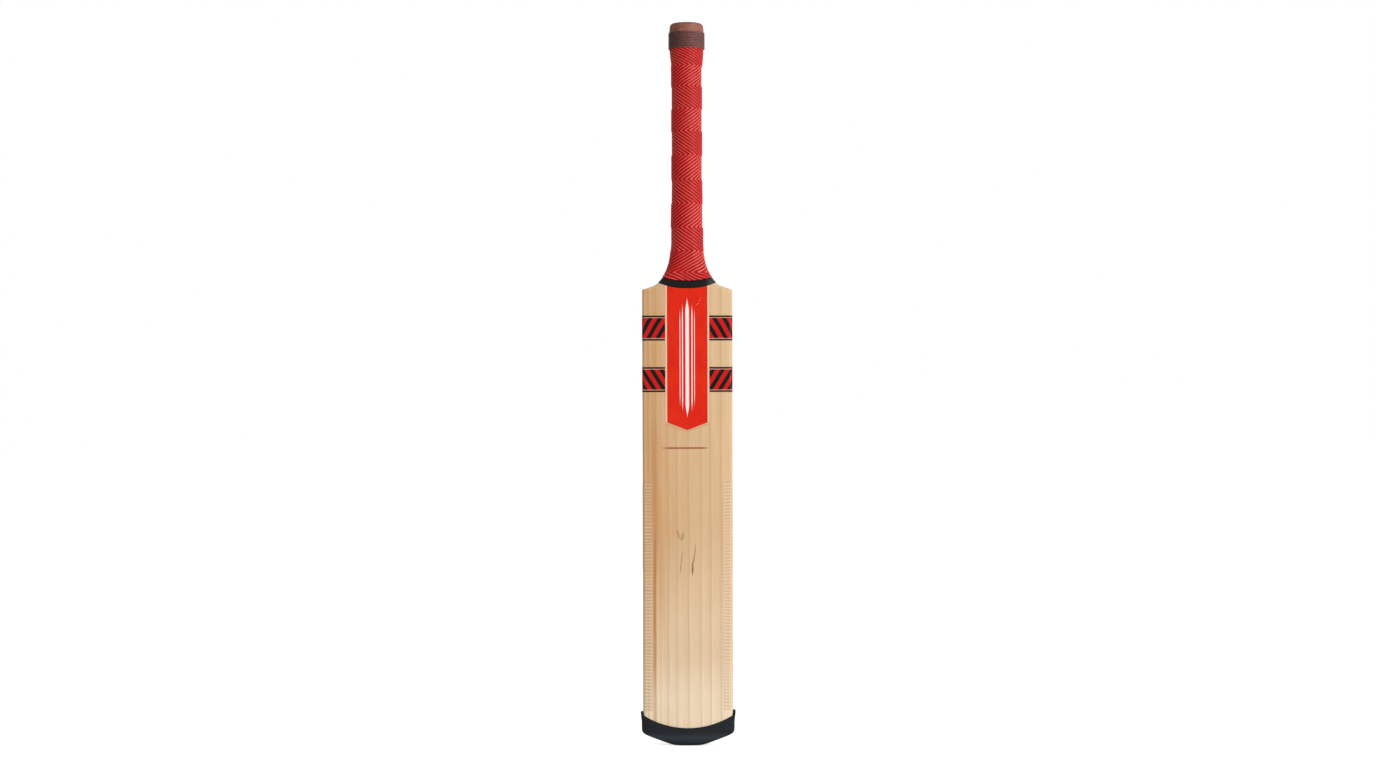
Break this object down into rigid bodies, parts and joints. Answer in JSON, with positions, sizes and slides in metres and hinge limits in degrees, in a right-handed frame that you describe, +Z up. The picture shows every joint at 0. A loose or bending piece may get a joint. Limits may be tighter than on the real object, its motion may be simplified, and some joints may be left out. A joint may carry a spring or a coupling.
{
  "type": "cricket bat",
  "caption": "Full-size short-handle cricket bat: willow blade with a spined back, laminated cane handle, rubber grip, whipping, end cap and toe guard.",
  "frame": {"origin": "middle of the toe guard's flat base, on the axis of the handle, with the bat upright on its toe", "axes": "+Z up the bat along the handle, -Y the way the face looks, +X to the right of someone who faces the face"},
  "size_m": [0.1128, 0.0711, 0.857],
  "materials": {
    "willow": "waxed",
    "cane": "sanded",
    "spring_rubber": "matte",
    "twine": "glued",
    "grip_rubber": "matte, ribbed",
    "whipping_cord": "waxed",
    "cap_leather": "grained",
    "band_rubber": "satin",
    "label_red": "satin",
    "label_dark": "satin",
    "edge_tape": "clear, meshed",
    "guard_rubber": "matte"
  },
  "bodies": {
    "root": {"blade": "willow", "cane_face_left": "cane", "cane_face_centre": "cane", "cane_face_right": "cane", "cane_face_inner_left": "cane", "cane_face_inner_centre": "cane", "cane_face_inner_right": "cane", "cane_back_inner_left": "cane", "cane_back_inner_centre": "cane", "cane_back_inner_right": "cane", "cane_back_left": "cane", "cane_back_centre": "cane", "cane_back_right": "cane", "spring_face": "spring_rubber", "spring_centre": "spring_rubber", "spring_back": "spring_rubber", "handle_binding": "twine", "grip": "grip_rubber", "top_whipping": "whipping_cord", "end_cap": "cap_leather", "neck_band": "band_rubber", "face_label": "label_red", "side_label_upper_left": "label_dark", "side_label_upper_right": "label_dark", "side_label_lower_left": "label_dark", "side_label_lower_right": "label_dark", "edge_tape_left": "edge_tape", "edge_tape_right": "edge_tape", "toe_guard": "guard_rubber"}
  },
  "joints": []
}
